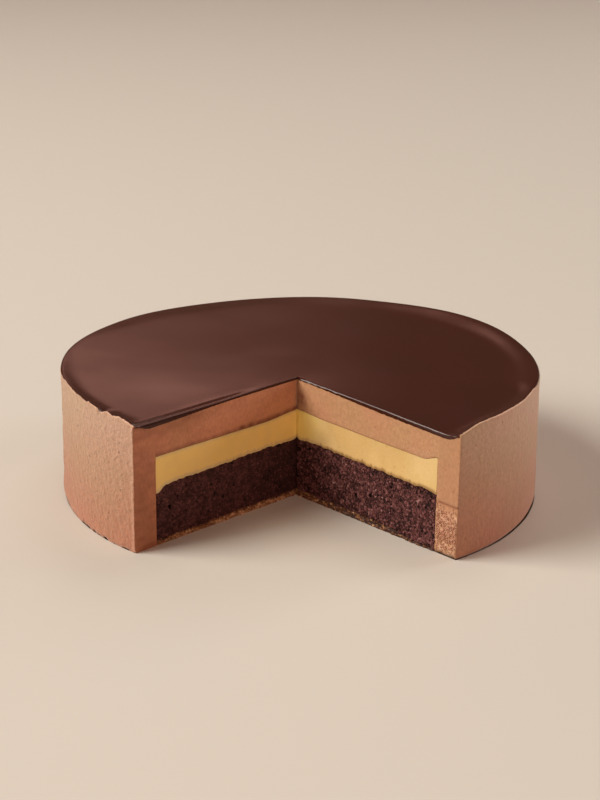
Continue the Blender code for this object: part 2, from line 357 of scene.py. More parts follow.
def squeeze(bearing):                    # 1 at the right, where the cake is a little narrower
    return softStep(-42.0, -16.0, bearing) * softStep(36.0, 12.0, bearing)


def rimMove(x, y):                       # outward shift of the lip's inner edge and of the glaze's rim
    radius = math.hypot(x, y)
    bearing = bearingOf(x, y)
    share = softStep(lipRadius - 6.0 * mm, lipRadius, radius)
    if radius > lipRadius:
        share = max(0.0, (cakeRadius - radius) / (cakeRadius - lipRadius))
    push = topSettings["backSpread"] * share * (1.0 - frontShare(bearing))
    pull = topSettings["rightSqueeze"] * squeeze(bearing)
    push -= pull * softStep(70.0 * mm, lipRadius, min(radius, lipRadius))
    return Vector((x, y, 0.0)).normalized() * push


def rimCorner(side, radius):             # where a cut meets a circle round the cake's centre
    along = cutSides[side][0]
    toApex = apex.dot(along)
    reach = math.sqrt(toApex ** 2 - apex.length_squared + radius ** 2) - toApex
    return apex + along * reach


def cutLength(side, radius):
    return (rimCorner(side, radius) - apex).length


def cutPoint(side, along, height, push):
    place = apex + cutSides[side][0] * along
    place.z = height
    return place + cutSides[side][1] * push


def spinArc(bm, radius, steps):
    first = rimCorner("right", radius)
    last = rimCorner("left", radius)
    sweep = (math.atan2(last.y, last.x) - math.atan2(first.y, first.x)) % math.tau
    known = set(bm.edges)
    start = bm.verts.new(first)
    bmesh.ops.spin(bm, geom=[start], cent=(0, 0, 0), axis=(0, 0, 1), angle=sweep, steps=steps)
    return [edge for edge in bm.edges if edge not in known]


def arcEnds(arc):
    counts = {}
    for edge in arc:
        for vert in edge.verts:
            counts[vert] = counts.get(vert, 0) + 1
    return [vert for vert, count in counts.items() if count == 1]


def onCut(co):                           # the cut that a point lies on, and how far along it
    for side, (along, inward) in cutSides.items():
        offset = co - apex
        if abs(offset.dot(inward)) < slack and offset.dot(along) > -slack:
            return side, max(0.0, offset.dot(along))
    return None, 0.0


def layerPlan(bm, radii, arcSteps, cutStep):
    # flat outline of the cake without its slice, with a strip between each two radii
    arcs = [spinArc(bm, radius, arcSteps) for radius in radii]
    centre = bm.verts.new(apex)
    spokes = [bm.edges.new((centre, end)) for end in arcEnds(arcs[0])]
    bmesh.ops.contextual_create(bm, geom=arcs[0] + spokes)
    for inner, outer in zip(arcs, arcs[1:]):
        bmesh.ops.bridge_loops(bm, edges=inner + outer)
    for edge in list(bm.edges):
        ends = [onCut(vert.co)[0] for vert in edge.verts]
        middle = (edge.verts[0].co + edge.verts[1].co) / 2.0
        if all(ends) and onCut(middle)[0]:
            cuts = max(1, round(edge.calc_length() / cutStep)) - 1
            if cuts:
                bmesh.ops.subdivide_edges(bm, edges=[edge], cuts=cuts)
    return list(bm.faces)


def liftFaces(bm, faces, height):
    lifted = bmesh.ops.extrude_face_region(bm, geom=faces)["geom"]
    verts = [item for item in lifted if isinstance(item, bmesh.types.BMVert)]
    bmesh.ops.translate(bm, vec=(0.0, 0.0, height), verts=verts)
    return [item for item in lifted if isinstance(item, bmesh.types.BMFace)]


def growFaces(bm, faces, height):        # as liftFaces, where the faces belong to a solid already
    liftFaces(bm, faces, height)
    bmesh.ops.delete(bm, geom=faces, context="FACES")


def addRows(bm, low, high, rows, onRim=None):
    # rows of points on the cut faces between two levels, and on the rim where a radius is given
    uprights = []
    for edge in bm.edges:
        lower, upper = sorted((vert.co for vert in edge.verts), key=lambda co: co.z)
        if abs(lower.z - low) > levelSlack or abs(upper.z - high) > levelSlack:
            continue
        rim = onRim is not None and abs(math.hypot(lower.x, lower.y) - onRim) < slack
        if rim or onCut(lower)[0]:
            uprights.append(edge)
    bmesh.ops.subdivide_edges(bm, edges=uprights, cuts=rows - 1, use_grid_fill=True)


def sliceFaces(bm, faces, point, normal):
    verts = {vert for face in faces for vert in face.verts}
    edges = {edge for face in faces for edge in face.edges}
    cut = bmesh.ops.bisect_plane(bm, geom=[*faces, *edges, *verts],
                                 plane_co=point, plane_no=normal, dist=levelSlack)
    return [item for item in cut["geom"] if isinstance(item, bmesh.types.BMFace)]


def sliceByCuts(bm, faces, distances):
    # rows of points beside both cuts, so that edges there can be rounded
    for side in cutSides:
        inward = cutSides[side][1]
        for distance in distances:
            faces = sliceFaces(bm, faces, apex + inward * distance * mm, inward)
    return faces


def gridFaces(bm, faces, step):
    # slices flat faces into a grid, so that they can follow an uneven surface
    lines = math.ceil(2.0 * cakeRadius / step)
    for axis in (Vector((1, 0, 0)), Vector((0, 1, 0))):
        for i in range(lines):
            faces = sliceFaces(bm, faces, axis * (step * (i + 0.5) - cakeRadius), axis)


def flatFaces(bm, level):
    return [face for face in bm.faces
            if all(abs(vert.co.z - level) < levelSlack for vert in face.verts)]


def insideRadius(faces, radius):
    limit = radius + slack
    return [face for face in faces if all(math.hypot(*vert.co.xy) < limit for vert in face.verts)]


def newMesh():                           # with the two values that the materials read
    bm = bmesh.new()
    bm.loops.layers.float.new("cutFace")
    bm.verts.layers.float.new("tone")
    return bm


def markCutFaces(bm):
    layer = bm.loops.layers.float["cutFace"]
    for face in bm.faces:
        if abs(face.normal.z) < 0.5 and onCut(face.calc_center_median())[0]:
            for loop in face.loops:
                loop[layer] = 1.0


def setTone(bm, vert, tone):
    vert[bm.verts.layers.float["tone"]] = tone


def creaseMove(co, depth=cakeSettings["creaseDepth"]):
    # draws the inner corner back into the cake, as a knife's end leaves it
    offset = co - apex
    back = offset.dot(creaseInward)
    aside = abs(offset.x * creaseInward.y - offset.y * creaseInward.x)
    if back > 4.0 * mm or back < -0.7 * mm:
        return Vector()
    fade = softStep(4.0 * mm, 0.0, back) if back > 0.0 else softStep(-0.65 * mm, 0.0, back)
    return creaseInward * depth * fade * softStep(3.0 * mm, 0.0, aside)


def arrisMove(side, co, radius):
    # wears the upright edge between a cut and the wall
    if radius < cakeRadius - 0.05 * mm:
        return Vector()
    outwardRim = Vector((co.x, co.y, 0.0)).normalized()
    return (cutSides[side][1] - outwardRim) * cakeSettings["arris"]


def makePiece(name, bm, nodeName, sharpAngle=45.0):
    bmesh.ops.recalc_face_normals(bm, faces=bm.faces)
    mesh = bpy.data.meshes.new(name)
    bm.to_mesh(mesh)
    bm.free()
    mesh.shade_smooth()
    mesh.set_sharp_from_angle(angle=math.radians(sharpAngle))
    piece = bpy.data.objects.new(name, mesh)
    bpy.context.scene.collection.objects.link(piece)
    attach(piece, "root")
    if nodeName:
        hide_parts(nodeName)
    print(name, "has", sum(len(face.vertices) - 2 for face in mesh.polygons), "triangles")
    return piece


def buildLayer(name, settings, bottomHeight, topHeight, relief, sharpAngle=45.0):
    # one layer between two uneven surfaces; relief gives each cut point its push and its tone
    bm = newMesh()
    faces = layerPlan(bm, [settings["radius"]], settings["arcSteps"], settings["cutStep"])
    liftFaces(bm, faces, 1.0)
    addRows(bm, 0.0, 1.0, settings["rows"])
    for level in (0.0, 1.0):
        gridFaces(bm, flatFaces(bm, level), settings["gridStep"])
    markCutFaces(bm)
    for vert in bm.verts:
        x, y, share = vert.co
        side, along = onCut(vert.co)
        low = bottomHeight(x, y)
        high = topHeight(x, y)
        height = low + (high - low) * share
        move = creaseMove(Vector((x, y, 0.0)))
        tone = 0.5
        if side:
            push, tone = relief(side, along, height, share)
            move += cutSides[side][1] * push * creaseFade(along)
            if math.hypot(x, y) > layerRadius - slack:
                torn = 0.5 + 0.5 * lumps(0.0, 0.0, height, 0.9 * mm, 5.0)
                torn += 0.3 * lumps(0.0, 0.0, height, 0.5 * mm, 8.0)
                move -= cutSides[side][0] * settings["tornEnd"] * max(0.0, torn)
        vert.co = Vector((x, y, height)) + move
        setTone(bm, vert, tone)
    return makePiece(name, bm, settings["node"], sharpAngle)


custardSettings = {
    "node": "custard",
    "slot": "custard",
    "radius": layerRadius,
    "arcSteps": 200,
    "cutStep": 0.30 * mm,
    "rows": 22,
    "gridStep": 4.0 * mm,
    "tornEnd": 0.10 * mm,
    "hollow": 0.12 * mm,                 # drawn in between its neighbours
    "drag": 0.06 * mm,                   # marks of the knife
}


def custardRelief(side, along, height, share):
    hollow = custardSettings["hollow"] * 4.0 * share * (1.0 - share)
    shift = 0.0 if side == "left" else 40.0
    drag = custardSettings["drag"] * lumps(along, height / 4.0, 0.0, 3.0 * mm, shift)
    smear = 0.10 * mm * softStep(0.12, 0.0, share) * lumps(along, 0.0, 0.0, 1.4 * mm, shift + 2.0)
    # paler towards the crease on the right cut: painted light against the crease's shade; the whole left
    # cut sits at one tone of its shaded colour
    tone = 0.85 if side == "left" else 0.5 + 0.5 * softStep(18.0 * mm, 0.0, along)
    tone += 0.06 * lumps(along, height, 0.0, 4.0 * mm, shift + 8.0)
    # darker at its top on the left cut, under the seam: painted shade
    if side == "left":
        tone -= 0.24 * softStep(0.86, 1.0, share)
    dragged = softStep(0.16, 0.02, share + 0.06 * lumps(along, 0.0, 0.0, 1.1 * mm, shift + 6.0))
    return hollow + drag + smear, tone - 0.40 * dragged


def custardUnderHeight(x, y):
    return spongeTopHeight(x, y) + 0.15 * mm


custardPiece = buildLayer("custardDisc", custardSettings, custardUnderHeight, custardTopHeight,
                          custardRelief)


spongeSettings = {
    "node": "sponge",
    "slot": "dark_sponge",
    "radius": layerRadius,
    "arcSteps": 200,
    "cutStep": 0.24 * mm,
    "rows": 88,
    "gridStep": 4.0 * mm,
    "tornEnd": 0.75 * mm,                # ragged end against the mousse
    "crumbSize": 1.15 * mm,
    "crumbRelief": 0.55 * mm,
    "fineSize": 0.60 * mm,
    "fineRelief": 0.30 * mm,
    "lump": 0.25 * mm,
    "bigPores": (3.4 * mm, 0.52, 0.95 * mm, 2.2 * mm),       # spacing, share, radius, depth
    "smallPores": (1.3 * mm, 0.30, 0.40 * mm, 1.1 * mm),
    "leftRelief": 0.35,                  # the left cut is smoother
    "poreStart": 0.55 * mm,              # crumbs set deeper than this lie in a pore
}


def poreDepth(x, y, pores, shift):
    spacing, share, radius, depth = pores
    distance, draw, size = cells(x, y, spacing, shift)
    if draw > share:
        return 0.0
    radius *= 0.45 + 0.55 * size
    return depth * (0.4 + 0.6 * size) * softStep(radius, 0.4 * radius, distance)


def crumbDome(x, y, size, shift):        # height of a rounded crumb, the gap beside it, and a draw
    distance, draw, second = cells(x, y, size, shift)
    height = (1.0 - min(1.0, distance / (0.62 * size))) * (0.3 + 0.7 * draw)
    return height, softStep(0.28, 0.62, distance / size), second


def spongeRelief(side, along, height, share):
    left = side == "left"
    shift = 11.0 if left else 53.0
    bend = 0.6 * mm
    x = along + bend * lumps(along, height, 0.0, 1.2 * mm, shift + 1.0)
    y = height + bend * lumps(along, height, 0.0, 1.2 * mm, shift + 2.0)
    dome, gapShadeShare, second = crumbDome(x, y, spongeSettings["crumbSize"], shift)
    fine, fineGapShade, fineSecond = crumbDome(x, y, spongeSettings["fineSize"], shift + 4.0)
    crumb = spongeSettings["crumbRelief"] * (dome - 0.32) + spongeSettings["fineRelief"] * (fine - 0.32)
    crumb += spongeSettings["lump"] * lumps(along, height, 0.0, 3.4 * mm, shift)
    pore = max(poreDepth(x, 1.2 * y, spongeSettings["bigPores"], shift + 3.0),
               poreDepth(x, y, spongeSettings["smallPores"], shift + 5.0))
    vary = 0.4 if left else 1.0
    # crumbs are paler at their tops and darker in the gaps between them: painted light and shade, over
    # random tones
    tone = 0.47 + vary * (0.16 * (second - 0.5) + 0.22 * (fineSecond - 0.5) + 0.28 * (dome - 0.3))
    tone += vary * (0.12 - 0.12 * gapShadeShare - 0.18 * fineGapShade)
    if fineSecond > 0.93:
        tone += vary * 0.55 * fine       # a paler crumb here and there
    tone += 0.16 * vary * lumps(along, height, 0.0, 4.5 * mm, shift + 9.0)
    # the left cut is darker, more so towards the crease: painted shade
    if left:
        tone -= 0.12 + 0.06 * softStep(30.0 * mm, 6.0 * mm, along)
        pore *= 0.60 + 0.90 * softStep(46.0 * mm, 60.0 * mm, along)
    else:
        # darker at the top towards the outer right: painted shade under the custard's edge
        tone -= 0.16 * softStep(0.86, 0.98, share) * softStep(34.0 * mm, 46.0 * mm, along)
    # pores are painted nearly black: painted shade inside them
    tone *= 1.0 - 0.95 * min(1.0, pore / (0.45 * mm))
    amount = spongeSettings["leftRelief"] if left else 1.0
    return 0.08 * mm - amount * crumb + pore, tone


def spongeUnderHeight(x, y):
    return baseTopHeight(x, y) + 0.12 * mm


spongePiece = buildLayer("spongeDisc", spongeSettings, spongeUnderHeight, spongeTopHeight,
                         spongeRelief, 80.0)


baseSettings = {
    "node": "base",
    "slot": "golden_base",
    "radius": layerRadius,
    "arcSteps": 200,
    "cutStep": 0.26 * mm,
    "rows": 12,
    "gridStep": 4.0 * mm,
    "tornEnd": 0.4 * mm,
    "crumble": 0.55 * mm,
    "flakeSize": 1.35 * mm,
    "flakeRelief": 0.60 * mm,
}


def baseRelief(side, along, height, share):
    left = side == "left"
    shift = 21.0 if left else 83.0
    x = along + 0.35 * mm * lumps(along, height, 0.0, 0.9 * mm, shift + 1.0)
    dome, gapShadeShare, second = crumbDome(0.8 * x, 1.5 * height, baseSettings["flakeSize"], shift)
    fine, fineGapShade, fineSecond = crumbDome(x, height, 0.7 * mm, shift + 4.0)
    flake = baseSettings["flakeRelief"] * (dome - 0.3) + 0.22 * mm * (fine - 0.3)
    crumble = baseSettings["crumble"] * lumps(along, height * 1.5, 0.0, 2.4 * mm, shift)
    # flakes are paler at their tops and darker in the gaps between them: painted light and shade, over
    # random tones
    tone = 0.38 + 0.22 * (fineSecond - 0.5) + 0.30 * (dome + 0.6 * fine - 0.55)
    tone -= 0.12 * (gapShadeShare + fineGapShade)
    if left:
        crumble *= 0.6
        golden = softStep(1.0, 0.45, share + 0.25 * lumps(along, 0.0, 0.0, 3.0 * mm, 4.0))
        tone += 0.08 + 0.34 * golden
        if second > 0.78:
            tone += 0.30 * dome
    else:
        tone += 0.22 * softStep(28.0 * mm, 12.0 * mm, along) - 0.10 * softStep(34.0 * mm, 50.0 * mm, along)
        if second > 0.86:
            tone += 0.85 * dome          # a bright flake here and there
    return crumble - flake, tone


def floorHeight(x, y):
    return 0.0


basePiece = buildLayer("biscuitBase", baseSettings, floorHeight, baseTopHeight, baseRelief, 80.0)


mousseSettings = {
    "arcSteps": 880,
    "cutStep": 0.42 * mm,
    "wallRows": 56,
    "slabRows": 16,
    "lipRows": 3,
    "gridStep": 5.0 * mm,
    "slabDepth": 12.0 * mm,              # flat stand-ins for the slab and the lip, fitted later
    "lipBand": 2.0 * mm,
    "rings": (5.0 * mm, 2.2 * mm),       # rings of points inside the lip
    "glazeClearance": 0.3 * mm,          # kept under the glaze, away from its edges
    "lipRagged": 0.16 * mm,
    # height share, size and shift of each wave of the ragged lip
    "lipWaves": ((1.0, 2.6 * mm, 5.3), (0.8, 6.2 * mm, 3.7), (1.9, 1.4 * mm, 1.3)),
    "lipLean": 0.15 * mm,
    "footDepth": (0.40 * mm, 0.9 * mm),  # soft lower edge, at the left front and elsewhere
    "footHeight": 1.6 * mm,
    "rightLean": (0.4 * mm, 1.2 * mm),   # the wall leans in at the right, at its foot and its top
    "leftLean": 0.35 * mm,
    "filmWave": 0.20 * mm,
    "pitSpacing": 6.5 * mm,
    "pitDepth": 0.45 * mm,
    "ridges": ((-46.6, 0.10 * mm), (-44.9, 0.07 * mm)),      # bearing, height: joints of the ring film
    "ridgeWidth": 0.5 * mm,
    "roughHeight": 19.3 * mm,            # coarser below this, on the right cut
    "crackDepth": 0.35 * mm,
    "airyRelief": 0.30 * mm,
    "footTuck": 1.1 * mm,                # the right cut's foot is drawn in
}


def wallRelief(arc, height, bearing, left):
    # outward push of the wall: creases of the ring film on the left, fainter on the right, and pits
    slant = arc + 0.35 * height
    wave = lumps(slant, height * 0.45, 0.0, 1.7 * mm, 2.0)
    fine = lumps(arc - 0.3 * height, height * 0.6, 0.0, 1.0 * mm, 6.0)
    broad = lumps(arc, height, 0.0, 22.0 * mm, 4.0)
    streak = lumps(arc, height * 0.06, 0.0, 2.2 * mm, 9.0)
    film = mousseSettings["filmWave"] * (wave + 0.6 * fine) * (0.30 + 0.70 * left)
    film += 0.02 * mm * streak * (1.0 - left)
    distance, draw, size = cells(arc, height, mousseSettings["pitSpacing"], 31.0)
    pit = 0.0
    if draw > 0.80 - 0.18 * left:
        radius = (0.35 + 0.35 * size) * mm
        pit = mousseSettings["pitDepth"] * softStep(radius, 0.3 * radius, distance)
    ridge = 0.0
    for ridgeBearing, ridgeHeight in mousseSettings["ridges"]:
        away = abs(bearing - ridgeBearing) * math.radians(cakeRadius)
        ridge += ridgeHeight * softStep(mousseSettings["ridgeWidth"], 0.0, away)
    return film + 0.15 * mm * broad + ridge - pit


def wallLean(bearing, height):           # inward lean of the wall at the right and at the left
    low, high = mousseSettings["rightLean"]
    lean = squeeze(bearing) * (low + (high - low) * height / cakeHeight)
    left = softStep(-125.0, -150.0, bearing) if bearing < 0.0 else softStep(150.0, 175.0, bearing)
    return lean + mousseSettings["leftLean"] * left * softStep(1.0 * mm, 9.0 * mm, height)


def mousseCutRelief(side, along, height):
    shift = 61.0 if side == "left" else 17.0
    knife = 0.05 * mm * lumps(along / 3.0, height, 0.0, 1.4 * mm, shift)
    grain = 0.04 * mm * lumps(along, height, 0.0, 0.9 * mm, shift + 3.0)
    ceiling = custardTopHeight(*cutPoint(side, along, 0.0, 0.0).xy)
    overSeam = max(0.0, height - ceiling)
    if side == "left":
        # a darker band above the custard, widest near the crease: painted shade of the seam
        nearCrease = softStep(52.0 * mm, 18.0 * mm, along)
        seamShade = softStep((2.2 + 0.6 * nearCrease) * mm, 0.6 * mm, overSeam) * (0.35 + 0.65 * nearCrease)
        seamShade *= (along < cutLength(side, layerRadius)) * (height > ceiling)
        seamShade *= 0.8 + 0.4 * lumps(along, 0.0, 0.0, 2.2 * mm, 6.0)
        tone = 0.46 - 0.52 * seamShade + 0.08 * lumps(along / 2.0, height, 0.0, 2.4 * mm, 3.0)
        tone -= 0.10 * softStep(62.0 * mm, 74.0 * mm, along) * softStep(43.0 * mm, 34.0 * mm, height)
        tone -= 0.12 * softStep(7.0 * mm, 1.0 * mm, cakeHeight - 1.5 * mm - height)
        tone += 0.04 - 0.15 * softStep(34.0 * mm, 54.0 * mm, along)
        return knife + grain, tone
    wall = softStep(68.0 * mm, 70.5 * mm, along)
    # a dark line just above the custard, away from the wall: painted shade of the seam
    seamLineShade = softStep(0.9 * mm, 0.3 * mm, overSeam) * (height > ceiling) * (1.0 - wall)
    rough = softStep(mousseSettings["roughHeight"], 0.8 * mousseSettings["roughHeight"], height) * wall
    clump = lumps(along, 0.9 * height, 0.0, 1.5 * mm, shift + 8.0)
    fleck = lumps(along, height, 0.0, 0.9 * mm, shift + 6.0)
    airy = -mousseSettings["airyRelief"] * (clump + 0.4 * fleck) * rough
    foot = softStep(1.9 * mm, 0.0, height) * wall
    crackHeight = mousseSettings["roughHeight"] + 0.3 * mm * lumps(along, 0.0, 0.0, 2.0 * mm, 3.0)
    crack = mousseSettings["crackDepth"] * softStep(0.55 * mm, 0.1 * mm, abs(height - crackHeight)) * wall
    flecked = softStep(52.0 * mm, 60.0 * mm, along) * softStep(37.5 * mm, 35.5 * mm, height) * (1.0 - wall)
    speck = flecked * 0.22 * mm * lumps(along, height, 0.0, 0.8 * mm, shift + 12.0)
    # the coarse foot is paler, and paler still on its raised lumps: its own colour, with painted highlight
    # on the lumps
    tone = 0.5 + 0.06 * flecked + rough * (0.17 + 0.22 * clump + 0.20 * fleck) - 0.24 * seamLineShade
    tone -= 0.11 * wall * (1.0 - rough)
    # the crack is darkened along its line: painted shade in the crack
    tone -= 0.32 * crack / mousseSettings["crackDepth"]
    # darker on the mousse beside the crease: painted shade cast into the crease
    paintedCreaseShade = softStep(8.0 * mm, 1.5 * mm, along) * softStep(5.5 * mm, 1.0 * mm, abs(height - 39.0 * mm))
    tone -= 0.34 * paintedCreaseShade * (0.8 + 0.5 * lumps(along, height, 0.0, 1.8 * mm, 2.0))
    push = knife + grain + airy + crack + speck + mousseSettings["footTuck"] * foot
    # the foot is also darkened: painted contact shade under the drawn-in edge
    return push, tone - 0.42 * foot


def buildMousse():
    bm = newMesh()
    ceiling = cakeSettings["custardTop"] + gap
    slabTop = ceiling + mousseSettings["slabDepth"]
    lipTop = slabTop + mousseSettings["lipBand"]
    lipMiddle = 0.5 * (lipRadius + cakeRadius)
    radii = [fillRadius] + [lipRadius - ring for ring in mousseSettings["rings"]]
    radii += [lipRadius, lipMiddle, cakeRadius]
    plan = layerPlan(bm, radii, mousseSettings["arcSteps"], mousseSettings["cutStep"])
    bmesh.ops.translate(bm, vec=(0.0, 0.0, ceiling), verts=bm.verts)
    fillFace = max(plan, key=lambda face: face.calc_area())
    liftFaces(bm, plan, slabTop - ceiling)
    lipFaces = [face for face in flatFaces(bm, slabTop)
                if all(math.hypot(*vert.co.xy) > lipRadius - slack for vert in face.verts)]
    growFaces(bm, lipFaces, lipTop - slabTop)
    wallFaces = [face for face in flatFaces(bm, ceiling) if face is not fillFace]
    growFaces(bm, wallFaces, -ceiling)

    addRows(bm, 0.0, ceiling, mousseSettings["wallRows"], cakeRadius)
    addRows(bm, ceiling, slabTop, mousseSettings["slabRows"], cakeRadius)
    addRows(bm, slabTop, lipTop, mousseSettings["lipRows"], cakeRadius)
    underGlaze = insideRadius(flatFaces(bm, slabTop), fillRadius)
    gridFaces(bm, sliceByCuts(bm, underGlaze, (0.8, 2.0, 4.0, 7.0)), mousseSettings["gridStep"])
    gridFaces(bm, [fillFace], mousseSettings["gridStep"])
    markCutFaces(bm)

    for vert in bm.verts:
        x, y, z = vert.co
        side, along = onCut(vert.co)
        radius = math.hypot(x, y)
        bearing = bearingOf(x, y)
        low = custardTopHeight(x, y) + gap
        high = glazeUnderHeight(x, y) - seam
        fromCuts = min(cutPlace("left", x, y)[1], cutPlace("right", x, y)[1])
        clearance = mousseSettings["glazeClearance"] * softStep(0.3 * mm, 1.0 * mm, fromCuts)
        high -= clearance * softStep(0.05 * mm, 1.0 * mm, lipRadius - radius)
        lip = lipHeight(bearing)
        lipShare = 0.0
        if z <= ceiling + levelSlack:
            height = z / ceiling * low
        elif z <= slabTop + levelSlack:
            height = low + (z - ceiling) / (slabTop - ceiling) * (high - low)
        else:
            lipShare = math.sqrt((z - slabTop) / (lipTop - slabTop))
            ragged = ripples(x, y, mousseSettings["lipWaves"])
            ragged *= 0.45 + 0.55 * softStep(-90.0, -110.0, bearing)
            crown = 0.06 * mm if radius < cakeRadius - 0.05 * mm else 0.0
            height = high + lipShare * (lip + crown + mousseSettings["lipRagged"] * ragged - high)
        move = creaseMove(Vector((x, y, 0.0)))
        if radius < cakeRadius - slack and z > ceiling + levelSlack:
            move += rimMove(x, y)
        tone = 0.5
        if side:
            push, tone = mousseCutRelief(side, along, height)
            move += cutSides[side][1] * push * creaseFade(along)
            move += arrisMove(side, vert.co, radius)
        if radius > cakeRadius - slack:
            # a paler strip on the wall beside the left cut: painted highlight on the corner's edge
            if not side:
                tone += 0.20 * softStep(2.6 * mm, 0.3 * mm, cutPlace("left", x, y)[1])
            push = wallRelief(math.radians(bearing) * cakeRadius, height, bearing, 1.0 - rightness(x))
            foot = max(0.0, 1.0 - height / mousseSettings["footHeight"])
            leftFoot, plainFoot = mousseSettings["footDepth"]
            front = softStep(-110.0, -128.0, bearing) * softStep(-172.0, -160.0, bearing)
            torn = 1.0 + 3.4 * max(0.0, ripple(x, y, 0.0024, 7.1)) * front
            push -= (plainFoot + (leftFoot - plainFoot) * front) * torn * foot ** 2
            push -= mousseSettings["lipLean"] * lipShare ** 2 + wallLean(bearing, height)
            move += Vector((x, y, 0.0)).normalized() * push
        # the lip's top is paler, more so at the left front: painted highlight along the lip
        if lipShare > 0.0 and radius > lipRadius - slack:
            pale = 0.10 + 0.22 * softStep(-90.0, -120.0, bearing)
            tone = max(tone, 0.5 + pale * softStep(0.85, 1.0, lipShare))
        vert.co = Vector((x, y, height)) + move
        setTone(bm, vert, tone)
    return makePiece("mousseCoat", bm, "mousse")


moussePiece = buildMousse()


glazeSettings = {
    "arcSteps": 660,
    "cutStep": 0.5 * mm,
    "faceRows": 8,
    # rows of points, in mm in from the rim and from a cut, above and below
    "rimRows": (14.0, 11.0, 8.5, 6.5, 4.6, 3.2, 2.2, 1.6, 1.1, 0.8, 0.5, 0.3, 0.12, 0.0),
    "cutRows": (0.08, 0.2, 0.4, 0.6, 0.85, 1.15, 1.5, 2.0, 2.8, 4.0, 6.0, 9.0),
    "underRows": (0.6, 2.0, 4.0, 7.0),
    "gridStep": 5.0 * mm,
    "cutRound": {"left": (0.4, 0.55), "right": (0.6, 0.66)},     # mm, near the crease and at the wall
    "leftFall": 0.36 * mm,               # the top falls towards the left cut
    "leftGroove": 0.10 * mm,             # and has a groove just behind its edge
    "leastDepth": 0.12 * mm,
    "bulge": {"left": 0.35 * mm, "right": 0.14 * mm},
    "teeth": {"left": 0.08 * mm, "right": 0.30 * mm},            # uneven lower edge on the cut
}


def edgeRound(side, reach, distance):    # rounded upper edge of the glaze along a cut
    near, far = glazeSettings["cutRound"][side]
    breadth = (near + (far - near) * softStep(30.0 * mm, 66.0 * mm, reach)) * mm
    breadth *= 0.35 + 0.65 * softStep(0.0, 2.5 * mm, reach)
    if side == "right":
        breadth *= 1.0 + 0.5 * lumps(reach, 0.0, 0.0, 1.7 * mm, 4.0)
    drop = (0.6 if side == "left" else 0.9) * breadth * edgeDrop(distance, breadth)
    if side == "left":                   # it falls towards the edge, with a shallow groove behind it
        ridge = softStep(15.0 * mm, 40.0 * mm, reach)
        drop += glazeSettings["leftFall"] * ridge * softStep(3.6 * mm, 0.4 * mm, distance)
        drop += glazeSettings["leftGroove"] * ridge * softStep(0.8 * mm, 0.0, abs(distance - 1.4 * mm))
    return drop


def glazeFaceMove(side, along, share):
    # the set glaze hangs over its cut edge a little, and its lower edge is uneven
    shift = 5.0 if side == "left" else 25.0
    bulge = glazeSettings["bulge"][side]
    if side == "left":
        bulge *= 0.35 + 0.65 * softStep(30.0 * mm, 66.0 * mm, along)
    profile = math.sin(math.pi * min(1.0, 0.2 + 0.72 * share))
    ragged = 0.05 * mm * lumps(along, 0.0, 0.0, 2.4 * mm, shift)
    out = bulge * (0.35 + 0.65 * profile) + ragged
    teeth = glazeSettings["teeth"][side] * (0.5 + lumps(along, 0.0, 0.0, 1.3 * mm, shift + 3.0))
    move = cutSides[side][1] * -out * creaseFade(along)
    move.z = -max(0.0, teeth) * (1.0 - share) ** 2
    return move


def buildGlaze():
    bm = newMesh()
    radii = [lipRadius + seam - row * mm for row in glazeSettings["rimRows"]]
    plan = layerPlan(bm, radii, glazeSettings["arcSteps"], glazeSettings["cutStep"])
    topFaces = liftFaces(bm, plan, 1.0)
    addRows(bm, 0.0, 1.0, glazeSettings["faceRows"])
    topFaces = sliceByCuts(bm, topFaces, glazeSettings["cutRows"])
    gridFaces(bm, insideRadius(topFaces, radii[0]), glazeSettings["gridStep"])
    underFaces = insideRadius(flatFaces(bm, 0.0), radii[0])
    gridFaces(bm, sliceByCuts(bm, underFaces, glazeSettings["underRows"]), glazeSettings["gridStep"])
    markCutFaces(bm)

    for vert in bm.verts:
        x, y, share = vert.co
        side, along = onCut(vert.co)
        under = glazeUnderHeight(x, y)
        top = glazeTopHeight(x, y)
        for edgeSide in cutSides:
            top -= edgeRound(edgeSide, *cutPlace(edgeSide, x, y))
        height = under + max(glazeSettings["leastDepth"], top - under) * share
        move = creaseMove(Vector((x, y, 0.0)), 0.6 * cakeSettings["creaseDepth"]) + rimMove(x, y)
        if side:
            move += glazeFaceMove(side, along, share)
        vert.co = Vector((x, y, height)) + move
        setTone(bm, vert, 0.5)
    return makePiece("glazeSheet", bm, "glaze")


glazePiece = buildGlaze()
print("layers modelled")


# crumbs and flecks, scattered at true size over the two cuts
crumbSettings = {
    "spongeCrumbs": {"slot": "dark_sponge", "count": 1500, "seed": 11, "size": (0.35, 1.05)},
    "biscuitCrumbs": {"slot": "golden_base", "count": 240, "seed": 23, "size": (0.30, 0.90)},
    "mousseCrumbs": {"slot": "mousse", "count": 620, "seed": 41, "size": (0.35, 0.85)},
    "paleFlecks": {"slot": "mousse", "count": 34, "seed": 37, "size": (0.28, 0.50)},
}


def addCrumb(bm, draw, place, size, tone):
    turn = Euler([draw.uniform(0.0, math.tau) for axis in range(3)]).to_matrix().to_4x4()
    stretch = Matrix.Diagonal((1.0, draw.uniform(0.7, 1.0), draw.uniform(0.6, 0.9), 1.0))
    made = bmesh.ops.create_icosphere(bm, subdivisions=1, radius=0.5 * size,
                                      matrix=Matrix.Translation(place) @ turn @ stretch)
    for vert in made["verts"]:
        vert.co += (vert.co - place) * draw.uniform(-0.28, 0.22)
        setTone(bm, vert, tone)


